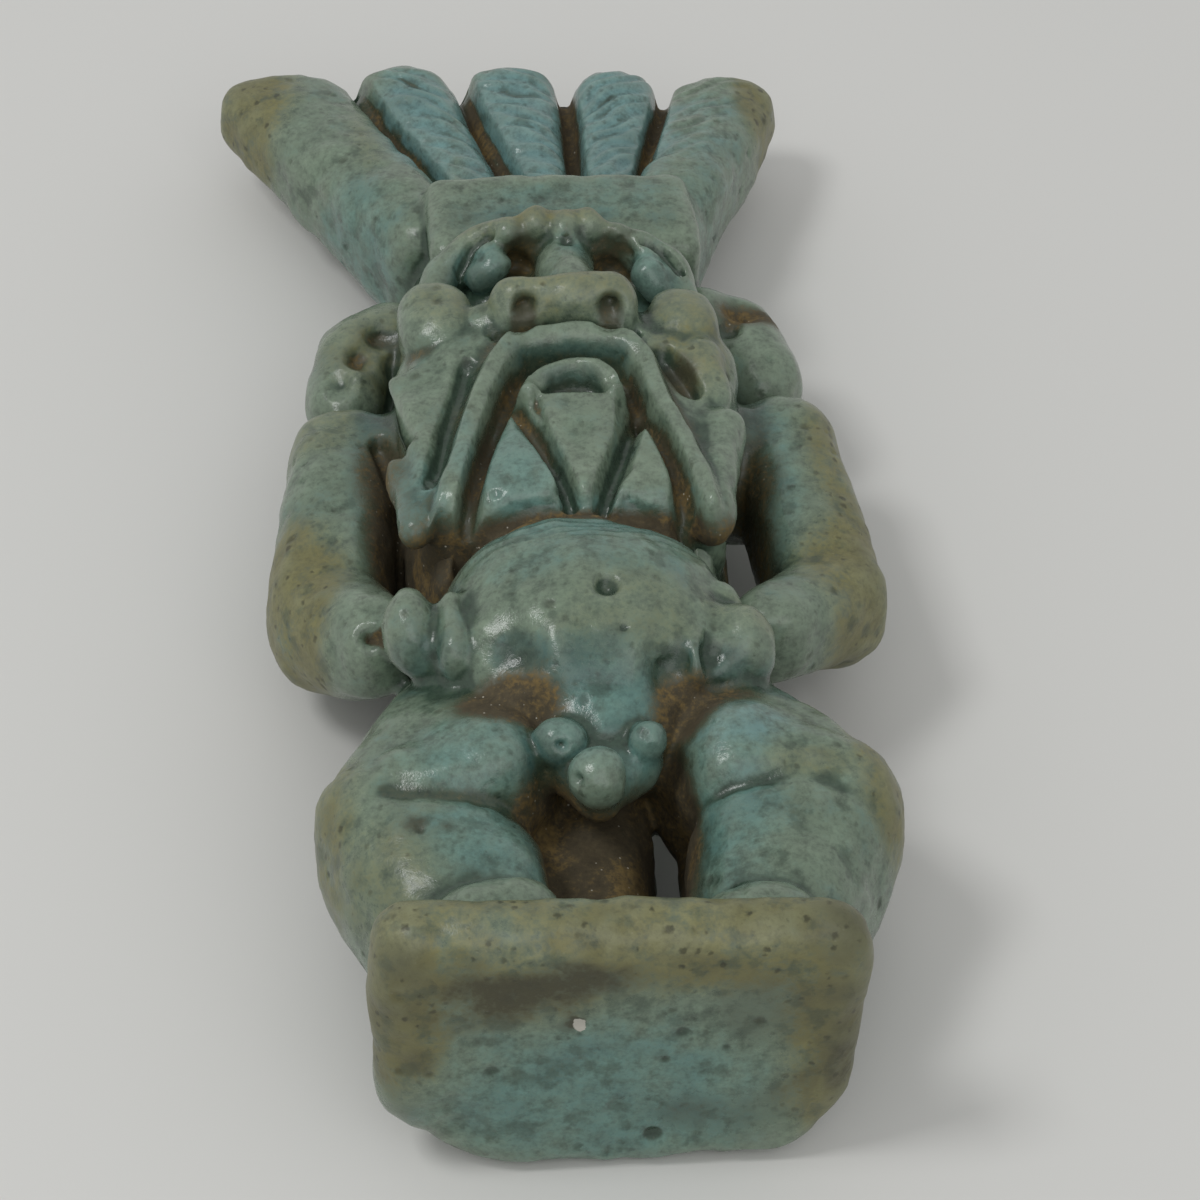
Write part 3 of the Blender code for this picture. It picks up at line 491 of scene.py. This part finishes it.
# where the glaze changes: centre, radii, amount
stains = dict(
    # brown soil lying in the deep places
    soil=[
        ((-8.5, 33.5, 7.5), (1.5, 3, 2.5), 0.9), ((-8, 30, 7.5), (1.6, 4, 4), 1),
        ((-6.5, 26.8, 9.5), (2.4, 2.2, 2.6), 1), ((0, 25.9, 11.8), (6.2, 0.75, 1.3), 1.5),
        ((7.4, 30, 7), (1.3, 4, 3.4), 0.75), ((8.6, 33.5, 6), (1.1, 3, 3), 0.7),
        ((-8.6, 33, 10.6), (0.8, 2.6, 1.4), 1), ((-4.1, 16, 11.4), (2.1, 1.3, 1.6), 1.2),
        ((3.6, 15.8, 10.8), (1.6, 1.4, 1.6), 1.1), ((5.6, 16.5, 10.2), (1.2, 0.8, 1.4), 0.8),
        ((-1.2, 11, 6), (4, 6, 3.6), 1.4), ((2.9, 12, 7), (0.9, 4.6, 3.2), 1.2),
        ((-3.6, 12, 9), (0.9, 1.6, 1.6), 0.8), ((9.4, 45.6, 7.6), (1.5, 1, 1.4), 1),
        ((5.1, 35.1, 12.4), (0.5, 0.7, 0.8), 0.6), ((0.55, 45.5, 12.9), (0.3, 0.3, 0.8), 0.5),
    ],
    # soil that stays only in furrows
    dust=[
        ((-1.7, 46, 11.6), (1.5, 1.1, 1.6), 0.55), ((2.8, 45.7, 11.5), (1.4, 1.1, 1.6), 0.75),
        ((-2, 38.5, 14), (0.8, 0.9, 1.2), 0.6), ((2, 38.4, 14), (0.8, 0.9, 1.2), 0.6),
        ((-3, 34.5, 13), (1.2, 3, 2), 0.75), ((-4.4, 29.8, 12.8), (1.1, 4, 2), 0.9),
        ((3.2, 34, 13.2), (1.1, 2.8, 2), 0.8), ((4.2, 29.8, 13), (1, 4, 2), 0.8),
        ((-2, 31.8, 13), (1, 2.4, 1.6), 0.75), ((0, 36.2, 13), (2.6, 0.9, 1.6), 0.4),
        ((-7, 38.6, 11.5), (1.6, 1.2, 1.6), 0.8), ((-9.3, 44.2, 8), (1.6, 1.8, 1.4), 0.7),
        ((-6.8, 62.5, 5.6), (1.6, 6, 2), 0.8), ((-2, 62.5, 5.6), (1.2, 6, 2), 1.3),
        ((2.3, 62.5, 5.6), (1.2, 6, 2), 1.3), ((6.5, 62.5, 5.6), (1.2, 6, 2), 1.3),
        ((-9.8, 21.7, 10.3), (0.9, 0.9, 1), 1.2), ((-6, 11.6, 10.5), (4, 0.7, 1.4), 0.3),
    ],
    # where the glaze kept its turquoise
    turquoise=[
        ((-2.9, 28.6, 13.5), (1.8, 3, 2), 1), ((-7.4, 28.4, 12), (1.6, 2.6, 2), 0.9),
        ((-5.4, 30.5, 13.2), (0.8, 2.4, 1.6), 0.6), ((-3.6, 44.6, 12), (1.2, 1, 1.4), 1),
        ((4.2, 43.6, 12), (1.2, 1.2, 1.6), 1.1), ((0.6, 44.4, 12.6), (0.9, 1.2, 1.4), 0.6),
        ((-0.5, 14.5, 11.8), (4.4, 3.2, 3.4), 1), ((-5, 13.4, 11.5), (3.4, 2.2, 2.4), 0.75),
        ((-5, 9, 10.5), (2.6, 2.6, 2.6), 0.8), ((4.6, 10.5, 10.5), (2, 5, 2.8), 0.75),
        ((0, 25.2, 12.4), (5, 2.2, 2.4), 0.85), ((-9.2, 33, 8), (1.2, 6, 2.4), 0.6),
        ((9.4, 33, 8), (1, 6, 2.4), 0.5), ((1, 52, 10), (5, 1.6, 2), 0.5),
        ((-8.6, 54.5, 5), (2.6, 4, 4), 0.7), ((8, 55, 5), (1.6, 4, 4), 0.5),
        ((-0.5, 22.8, 13.5), (5, 1.6, 2), 0.45), ((-1, 0, 4.6), (6.4, 2, 4.2), 0.75),
    ],
    # fresher blue glaze
    blue=[
        ((-0.8, 62, 6.5), (3, 6, 3), 1), ((4.6, 62, 6.5), (2.6, 6, 3), 1),
        ((-5.6, 62.5, 6.5), (2.2, 5, 3), 0.9), ((8.4, 61.5, 6.5), (2, 4.5, 3), 0.4),
        ((5.6, 14.4, 11.6), (2.4, 1.4, 2), 0.6),
    ],
    # glaze run thick and dark, and painted shade in the creases: armpits, hips, between the thighs and
    # under the moustache
    deep=[
        ((-0.6, 16.9, 13), (2.4, 1.2, 2), 0.6), ((-3.7, 18.2, 12.4), (1, 0.8, 1.2), 0.8),
        ((4.6, 17.5, 11.4), (2.2, 0.9, 1.6), 0.9), ((-7.6, 18.9, 11), (2.4, 0.9, 1.8), 0.8),
        ((7.6, 17.8, 10), (2, 0.9, 2), 0.8), ((-2.9, 12.6, 10.4), (1, 2.2, 2.2), 0.8),
        ((2.6, 13.6, 10.2), (0.8, 1.8, 2.2), 0.8), ((-2.7, 8, 8.6), (0.6, 2.6, 2), 0.6),
        ((2.8, 8.6, 9.2), (0.8, 3.4, 2.8), 0.7), ((0.2, 14, 10.6), (0.9, 1.2, 1.4), 0.7),
        ((-8.4, 37.6, 9.4), (1.4, 1.4, 1.8), 0.7), ((8, 37.4, 9), (1.4, 1.4, 1.8), 0.6),
        ((0, 36.5, 13.4), (2.8, 0.6, 1.4), 0.9), ((-0.1, 34.7, 13.4), (1.4, 0.5, 1.2), 0.9),
        ((4.3, 43, 11.9), (1.4, 1, 1.2), 0.6), ((-4.2, 44, 11.6), (1.3, 1, 1.2), 0.6),
        ((0, 50, 9.4), (6.6, 1.4, 1.6), 0.4), ((-6.6, 22.6, 11.2), (1.4, 1, 1.4), 0.5),
    ],
    # rubbed to the olive body
    olive=[
        ((-14.5, 66, 5), (2.8, 4.2, 4), 0.95), ((12.8, 64.8, 5), (2, 4, 4), 0.95),
        ((-8, 60, 6.6), (1.2, 5, 2), 0.4), ((13.2, 26.6, 6.4), (3.4, 4, 4.6), 1.2),
        ((11, 25.4, 7.6), (2.2, 2, 2.4), 0.6), ((-13.4, 27, 6.4), (3, 4.2, 4.6), 1),
        ((12.2, 13.2, 8), (2.4, 3.4, 4), 0.95), ((8.6, 12.2, 11), (2.4, 0.8, 1.4), 0.4),
        ((-12.2, 12, 8), (2, 4, 4), 0.6), ((4, 0.8, 13.2), (7, 2.4, 2.2), 0.95),
        ((-6, 0.8, 14), (5, 2, 1.6), 0.75), ((-9.8, 0.8, 11), (2.2, 2.4, 5), 1.2),
        ((8.6, 0.8, 8), (2.4, 2.4, 6.5), 1), ((-5, 0, 11), (3.6, 2, 1.6), 0.7),
        ((0, 47.4, 13), (6, 1.5, 2), 0.75), ((0, 39.8, 15), (4, 1.6, 2), 0.6),
        ((-5.6, 40.6, 13.5), (1.6, 1.8, 1.6), 0.45), ((5.8, 38, 13), (2, 3.4, 2), 0.6),
        ((-11.4, 38, 8), (2.2, 2.6, 2.6), 0.45), ((12.6, 35, 7), (2, 6, 3), 0.75),
        ((-8, 44, 7), (3, 3, 2.6), 0.5), ((6.4, 20.5, 12), (2.6, 1.4, 1.6), 0.4),
        ((1.2, 18.4, 13.8), (3.2, 3, 1.6), 0.32), ((-10, 7.2, 9.6), (2.4, 3, 3), 0.42),
    ],
    # dark kiln marks, and painted shade in the small holes: nostrils, eye sockets, mouth, the slot beside
    # the moustache and beside the chip
    soot=[
        ((-5.6, 0, 11), (2.6, 2, 1.25), 0.95), ((-2.9, 0, 11.7), (1.8, 2, 1.1), 1),
        ((-7.6, 0, 10.4), (1.6, 2, 1.3), 0.85), ((-5.6, 0, 9.6), (1.6, 2, 0.8), 0.5),
        ((-9.6, 0.6, 8), (1.4, 2.4, 5), 0.45), ((9.2, 0.6, 8), (1.6, 2.4, 6), 0.45),
        ((-9.2, 0.3, 12.6), (1.6, 2.4, 1.2), 0.45), ((3, 0.2, 12), (4, 2, 1.2), 0.35),
        ((4.9, 35.5, 12.6), (0.8, 1.3, 1.2), 1.1), ((-1.7, 45.8, 12.2), (0.9, 0.8, 1.2), 0.9),
        ((2.8, 45.6, 12.2), (0.9, 0.8, 1.2), 0.9), ((-0.1, 34.6, 13.5), (1.3, 0.35, 1), 0.6),
        ((-2, 38.6, 14), (0.6, 0.8, 1.2), 1), ((2, 38.5, 14), (0.6, 0.8, 1.2), 1),
        ((-2.6, 0, 9.3), (0.5, 0.6, 0.45), 1.1), ((8.6, 0.4, 13.4), (2, 2.4, 1.6), 0.5),
        ((-7, 0, 12.9), (1.2, 2, 0.7), 0.4), ((-3.2, 0, 11.6), (0.9, 2, 0.7), 1.1),
        ((8.4, 0.3, 6), (0.8, 2, 1.6), 0.7), ((-8.4, 9.6, 11), (0.55, 0.45, 0.8), 0.6),
        ((-7, 9.3, 11.2), (0.45, 0.35, 0.8), 0.55), ((5.6, 0, 9.6), (2.6, 2, 2.6), 0.5),
        ((4, 0, 3.4), (3, 2, 1.4), 0.5),
    ],
    # fresh chip down to the white body
    chip=[
        ((-2.3, -0.1, 9.1), (0.25, 0.5, 0.36), 1.1), ((-2.15, -0.1, 8.75), (0.14, 0.5, 0.25), 1),
    ],
)

painting = dict(
    hollows=[(16, 6.0), (110, 2.3)],  # narrow and wide ones: rounds of averaging, weight
    fade=1.6,  # a stain has gone at 1.6 of its radii and is full within 0.6 of them
    dustOnFlat=0.15,
    dustInHollows=1.1,
)


# paints where each stain lies, and how hollow each place is, as attributes that the glaze reads
def paintStains(piece):
    points, normals, edges = readPoints(piece), readNormals(piece), readEdges(piece)
    hollow = np.zeros(len(points))
    averaged = points
    for times, weight in painting["hollows"]:
        averaged = spread(averaged, edges, times)
        hollow += weight * np.einsum("ij,ij->i", averaged - points, normals)
    layers = {}
    for kind, places in stains.items():
        layers[kind] = np.zeros(len(points))
        for centre, radii, amount in places:
            away = points - np.array(centre) - np.array(figure["toRow"])
            reach = np.linalg.norm(away / np.array(radii), axis=1)
            layers[kind] = np.maximum(layers[kind], amount * ease(painting["fade"] - reach))
    dust = layers.pop("dust") * ease(painting["dustOnFlat"] + painting["dustInHollows"] * hollow)
    layers["soil"] = np.maximum(layers["soil"], dust)
    # the glaze reads hollow for pooled glaze with painted shade in the hollows, and for a painted
    # highlight on the ridges
    layers["hollow"] = np.clip(hollow, -1.0, 1.0)
    for kind, values in layers.items():
        layer = piece.data.attributes.new(kind, "FLOAT", "POINT")
        layer.data.foreach_set("value", values.astype(np.float32))
    print("stains painted", len(layers))


def makeFigure():
    body = placeLumps()
    applyModifier(body, "REMESH", mode="VOXEL", voxel_size=figure["clayGrid"] * mm)
    applyModifier(body, "SMOOTH", factor=0.5, iterations=figure["claySoftening"])
    drown(body)
    roughen(body)
    applyModifier(body, "REMESH", mode="VOXEL", voxel_size=figure["reliefGrid"] * mm)
    print("clay shaped", len(body.data.polygons))
    carveFront(body)
    layFlat(body)
    pressDents(body)
    burstBubbles(body)
    applyModifier(body, "SMOOTH", factor=0.5, iterations=figure["reliefSoftening"])
    writePoints(body, readPoints(body) + np.array(figure["toRow"]))
    print("relief carved")
    paintStains(body)
    count = sum(len(face.vertices) - 2 for face in body.data.polygons)
    if count > figure["triangles"]:
        applyModifier(body, "DECIMATE", ratio=figure["triangles"] / count)
    bpy.ops.object.shade_smooth()
    print("figure finished", len(body.data.polygons))
    return body


def linear(hexColour):
    channels = [int(hexColour[i:i + 2], 16) / 255 for i in (1, 3, 5)]
    return tuple(c / 12.92 if c <= 0.04045 else ((c + 0.055) / 1.055) ** 2.4 for c in channels) + (1.0,)


# adds a node with its settings, links or sets its inputs, and gives back one output
def addNode(tree, kind, inputs=None, output=0, **settings):
    node = tree.nodes.new("ShaderNode" + kind)
    for key, value in settings.items():
        setattr(node, key, value)
    for key, value in (inputs or {}).items():
        if isinstance(value, bpy.types.NodeSocket):
            tree.links.new(value, node.inputs[key])
        else:
            node.inputs[key].default_value = value
    return node.outputs[output]


glaze = dict(
    sage="#637362",
    turquoise="#55756e",
    blue="#5e7f7e",
    # dark teal of thick glaze, also used as painted shade in the creases
    deep="#3a544e",
    olive="#66643f",
    # dark of glaze pooled in the hollows, also used as painted shade there
    pooled="#2f4034",
    # pale tint on the ridges: thinned glaze, and a painted highlight
    worn="#869180",
    soil="#443c2a",
    ochre="#5f4f2d",
    stained="#484935",
    # dark of kiln soot, also used as painted shade in the small holes
    soot="#373523",
    # colour of the painted glints: pale specks for light off sand grains
    paintedGlint="#c9c4b4",
    chip="#aeaca2",
    speckTint=(0.3, 0.3, 0.25, 1.0),
    ior=1.5,
    roughness=0.24,
    soilRoughness=0.85,
    # cloudy patterns: size in mm, detail, roughness. The grain stands for quartz sand of about 0.1 mm,
    # drawn coarser so that it shows
    clouds=dict(patches=(2.6, 3.0, 0.55), mottle=(0.8, 6.0, 0.65), grain=(0.25, 3.0, 0.65),
                smudges=(1.1, 4.0, 0.6)),
    # sums of clouds that fray the edges of stains and vary their tint: start, share of each cloud
    sums=dict(
        broken=(-1.05, dict(mottle=0.9, patches=1.2)),
        rubbed=(-1.28, dict(mottle=1.44, patches=1.92, grain=1.2)),
        crumbs=(-0.975, dict(mottle=0.45, patches=0.6, grain=0.9)),
        chipped=(-0.8775, dict(mottle=0.405, patches=0.54, grain=0.81)),
        ochre=(-0.3, dict(patches=1.0, grain=0.6)),
        shade=(0.0, dict(mottle=0.55, grain=0.45)),
        relief=(0.0, dict(mottle=0.35, grain=0.3)),
    ),
    # cover of each stain: painted attribute, how a sum frays it, which sum, where it starts and is full
    cover=dict(
        turquoise=("turquoise", "ADD", "broken", 0.0, 1.1),
        blue=("blue", "ADD", "broken", 0.0, 1.0),
        olive=("olive", "MULTIPLY", "rubbed", 0.05, 0.95),
        deep=("deep", "ADD", "broken", 0.1, 0.9),
        soot=("soot", "MULTIPLY", "rubbed", 0.1, 1.1),
        soil=("soil", "ADD", "crumbs", 0.35, 1.0),
        stained=("soil", "ADD", "crumbs", 0.0, 0.6),
        chip=("chip", "ADD", "chipped", 0.5, 0.7),
    ),
    # where glaze pools in hollows and painted shade darkens them, where it thins on ridges and a painted
    # highlight lightens them, and where it smudges: start and full
    pooling=(-0.03, 0.58),
    thinning=(-0.1, -0.9),
    smudging=(0.48, 0.64),
    # coats over the sage, in order: cover, colour, strength
    coats=[("turquoise", "turquoise", 1.0), ("blue", "blue", 1.0), ("olive", "olive", 1.0),
           ("deep", "deep", 0.8), ("pooling", "pooled", 0.88), ("smudging", "pooled", 0.5),
           ("thinning", "worn", 0.2)],
    shading=(0.34, 0.66, 0.68, 1.5),  # grain from dark to light, and how much it darkens and lightens
    # round spots: spacing in mm, share of places left bare, largest size
    spots=dict(speck=(0.55, 0.42, 0.3), pit=(1.2, 0.45, 0.2)),
    spotEdge=(-0.14, 0.12),
    raggedness=0.3,
    # spacing of the painted glints in mm
    paintedGlintSpacing=0.38,
    bumpHeight=0.12,
    bumpStrength=0.6,
)


# Faience, modelled in quartz paste and glazed with copper: glassy blue where the glaze is fresh, sage
# where it dulled, olive where it is rubbed away, with brown soil left in the hollows, dark pits and an
# uneven shine. Painted shade darkens the hollows, creases and small holes, a painted highlight lightens
# the ridges, and painted glints sparkle in the soil
def makeGlaze():
    material = bpy.data.materials.new("wornFaienceGlaze")
    material.use_nodes = True
    tree = material.node_tree
    shader = tree.nodes["Principled BSDF"]
    add = partial(addNode, tree)
    smooth = dict(interpolation_type="SMOOTHSTEP")
    tinted = dict(output=2, data_type="RGBA")
    place = add("TexCoord", output="Object")

    clouds = {}
    for name, (size, detail, roughness) in glaze["clouds"].items():
        inputs = {"Vector": place, "Scale": 1000 / size, "Detail": detail, "Roughness": roughness}
        clouds[name] = add("TexNoise", inputs)
    sums = {}
    for name, (total, shares) in glaze["sums"].items():
        for cloud, share in shares.items():
            total = add("Math", {0: clouds[cloud], 1: share, 2: total}, operation="MULTIPLY_ADD")
        sums[name] = total
    cover = {}
    for name, (layer, how, frayedBy, start, full) in glaze["cover"].items():
        painted = add("Attribute", output="Fac", attribute_name=layer)
        frayed = add("Math", {0: painted, 1: sums[frayedBy]}, operation=how)
        cover[name] = add("MapRange", {"Value": frayed, "From Min": start, "From Max": full}, **smooth)
    hollow = add("Attribute", output="Fac", attribute_name="hollow")
    smudged = add("Math", {0: hollow, 1: 0.1, 2: clouds["smudges"]}, operation="MULTIPLY_ADD")
    # the hollow attribute drives painted shade in hollows and a painted highlight on ridges, besides the
    # glaze that pools and thins there
    for name, source in (("pooling", hollow), ("thinning", hollow), ("smudging", smudged)):
        start, full = glaze[name]
        cover[name] = add("MapRange", {"Value": source, "From Min": start, "From Max": full}, **smooth)

    # glaze colours, one over the other, among them painted shade in the hollows and a painted highlight
    # on the ridges
    colour = linear(glaze["sage"])
    for name, tint, strength in glaze["coats"]:
        share = add("Math", {0: cover[name], 1: strength}, operation="MULTIPLY")
        colour = add("Mix", {0: share, 6: colour, 7: linear(glaze[tint])}, **tinted)
    darkest, lightest, darken, lighten = glaze["shading"]
    shade = add("MapRange", {"Value": sums["shade"], "From Min": darkest, "From Max": lightest,
                             "To Min": darken, "To Max": lighten})
    colour = add("Mix", {0: 1.0, 6: colour, 7: shade}, blend_type="MULTIPLY", **tinted)

    # specks and pits, round but ragged
    swirl = add("TexNoise", {"Vector": place, "Scale": 1000 / glaze["clouds"]["grain"][0]}, "Color")
    raggedness = (glaze["raggedness"] * mm,) * 3
    ragged = add("VectorMath", {0: swirl, 1: raggedness, 2: place}, operation="MULTIPLY_ADD")
    spots = {}
    for name, (spacing, bare, largest) in glaze["spots"].items():
        distance = add("TexVoronoi", {"Vector": ragged, "Scale": 1000 / spacing})
        chosen = add("SeparateColor", {0: distance.node.outputs["Color"]})
        size = add("MapRange", {"Value": chosen, "From Min": bare, "To Max": largest})
        margin = add("Math", {0: size, 1: distance}, operation="SUBTRACT")
        start, full = glaze["spotEdge"]
        spots[name] = add("MapRange", {"Value": margin, "From Min": start, "From Max": full}, **smooth)
    dark = add("Mix", {0: 1.0, 6: colour, 7: glaze["speckTint"]}, blend_type="MULTIPLY", **tinted)
    moreOnOlive = add("Math", {0: cover["olive"], 1: 0.5, 2: 0.4}, operation="MULTIPLY_ADD")
    speckShare = add("Math", {0: spots["speck"], 1: moreOnOlive}, operation="MULTIPLY")
    colour = add("Mix", {0: speckShare, 6: colour, 7: dark}, **tinted)
    pitShare = add("Math", {0: spots["pit"], 1: 0.7}, operation="MULTIPLY")
    colour = add("Mix", {0: pitShare, 6: colour, 7: dark}, **tinted)

    # kiln soot with painted shade in the small holes, the stain round the soil, and the soil with paler
    # ochre in it
    for name, strength in (("soot", 0.9), ("stained", 0.75)):
        share = add("Math", {0: cover[name], 1: strength}, operation="MULTIPLY")
        colour = add("Mix", {0: share, 6: colour, 7: linear(glaze[name])}, **tinted)
    paler = add("MapRange", {"Value": sums["ochre"], "From Min": 0.46, "From Max": 0.68}, **smooth)
    soil = add("Mix", {0: paler, 6: linear(glaze["soil"]), 7: linear(glaze["ochre"])}, **tinted)
    soil = add("Mix", {0: 1.0, 6: soil, 7: shade}, blend_type="MULTIPLY", **tinted)
    colour = add("Mix", {0: cover["soil"], 6: colour, 7: soil}, **tinted)

    # painted glints: pale specks standing for light glinting off sand grains in the soil, and the chip
    distance = add("TexVoronoi", {"Vector": place, "Scale": 1000 / glaze["paintedGlintSpacing"]})
    bright = add("SeparateColor", {0: distance.node.outputs["Color"]}, 1)
    chosen = add("MapRange", {"Value": bright, "From Min": 0.74, "From Max": 0.78}, **smooth)
    core = add("MapRange", {"Value": distance, "From Min": 0.16, "From Max": 0.06}, **smooth)
    inSoil = add("Math", {0: cover["soil"], 1: 0.7, 2: 0.05}, operation="MULTIPLY_ADD")
    paintedGlint = add("Math", {0: chosen, 1: core}, operation="MULTIPLY")
    paintedGlint = add("Math", {0: paintedGlint, 1: inSoil}, operation="MULTIPLY")
    colour = add("Mix", {0: paintedGlint, 6: colour, 7: linear(glaze["paintedGlint"])}, **tinted)
    colour = add("Mix", {0: cover["chip"], 6: colour, 7: linear(glaze["chip"])}, **tinted)
    tree.links.new(colour, shader.inputs["Base Color"])

    # dull in soil and pits, less so where rubbed or sooty and where shade is painted in the holes
    dull = cover["soil"]
    for source, strength in ((spots["pit"], 0.6), (cover["olive"], 0.3), (cover["soot"], 0.5)):
        share = add("Math", {0: source, 1: strength}, operation="MULTIPLY")
        dull = add("Math", {0: dull, 1: share}, operation="MAXIMUM")
    rough = add("MapRange", {"Value": dull, "To Min": glaze["roughness"],
                             "To Max": glaze["soilRoughness"]})
    tree.links.new(rough, shader.inputs["Roughness"])
    height = add("Math", {0: spots["pit"], 1: -0.5, 2: sums["relief"]}, operation="MULTIPLY_ADD")
    bump = add("Bump", {"Height": height, "Strength": glaze["bumpStrength"],
                        "Distance": glaze["bumpHeight"] * mm})
    tree.links.new(bump, shader.inputs["Normal"])
    shader.inputs["IOR"].default_value = glaze["ior"]
    return material


# softboxes: place, side, watts
studio = dict(
    floor="#d2d2cf",
    floorSize=3.0,
    floorRoughness=0.9,
    world=0.56,
    softboxes=[((-0.22, -0.06, 0.39), 0.11, 0.55), ((0.05, -0.38, 0.3), 0.4, 0.45)],
)


# matt paper: pale, even and without shine
def makePaper():
    paper = bpy.data.materials.new("palePaper")
    paper.use_nodes = True
    shader = paper.node_tree.nodes["Principled BSDF"]
    shader.inputs["Base Color"].default_value = linear(studio["floor"])
    shader.inputs["Roughness"].default_value = studio["floorRoughness"]
    return paper


def makeStudio():
    bpy.ops.object.select_all(action="DESELECT")
    bpy.ops.mesh.primitive_plane_add(size=studio["floorSize"], location=(0, 0, 0))
    floor = bpy.context.object
    floor.name = "floor"
    floor.data.materials.append(makePaper())
    world = bpy.data.worlds.new("studio")
    bpy.context.scene.world = world
    world.use_nodes = True
    world.node_tree.nodes["Background"].inputs["Color"].default_value = (1.0, 1.0, 1.0, 1.0)
    world.node_tree.nodes["Background"].inputs["Strength"].default_value = studio["world"]
    for place, size, power in studio["softboxes"]:
        bpy.ops.object.light_add(type="AREA", location=place)
        light = bpy.context.object
        light.data.size = size
        light.data.energy = power
        light.rotation_euler = (-light.location).to_track_quat("-Z", "Y").to_euler()
    bpy.context.scene.view_settings.view_transform = "Standard"
    print("studio lit", len(studio["softboxes"]))


# place and target in the figure's own millimetres
camera = dict(place=(-14.77, -120.96, 145.81), target=(0.9, 28.15, 6.0), roll=2.0, lens=136.17)


def makeCamera():
    shift = np.array(figure["toRow"])
    place = Vector((np.array(camera["place"]) + shift) * mm)
    target = Vector((np.array(camera["target"]) + shift) * mm)
    bpy.ops.object.camera_add(location=place)
    eye = bpy.context.object
    aim = (target - place).to_track_quat("-Z", "Y").to_matrix()
    roll = Matrix.Rotation(math.radians(camera["roll"]), 3, "Z")
    eye.rotation_euler = (aim @ roll).to_euler()
    eye.data.lens = camera["lens"]
    eye.data.clip_start = 0.005
    bpy.context.scene.camera = eye
    print("camera placed")


body = makeFigure()
body.data.materials.clear()
body.data.materials.append(makeGlaze())
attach(body, "root")
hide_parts("bes_figurine")
makeStudio()
makeCamera()
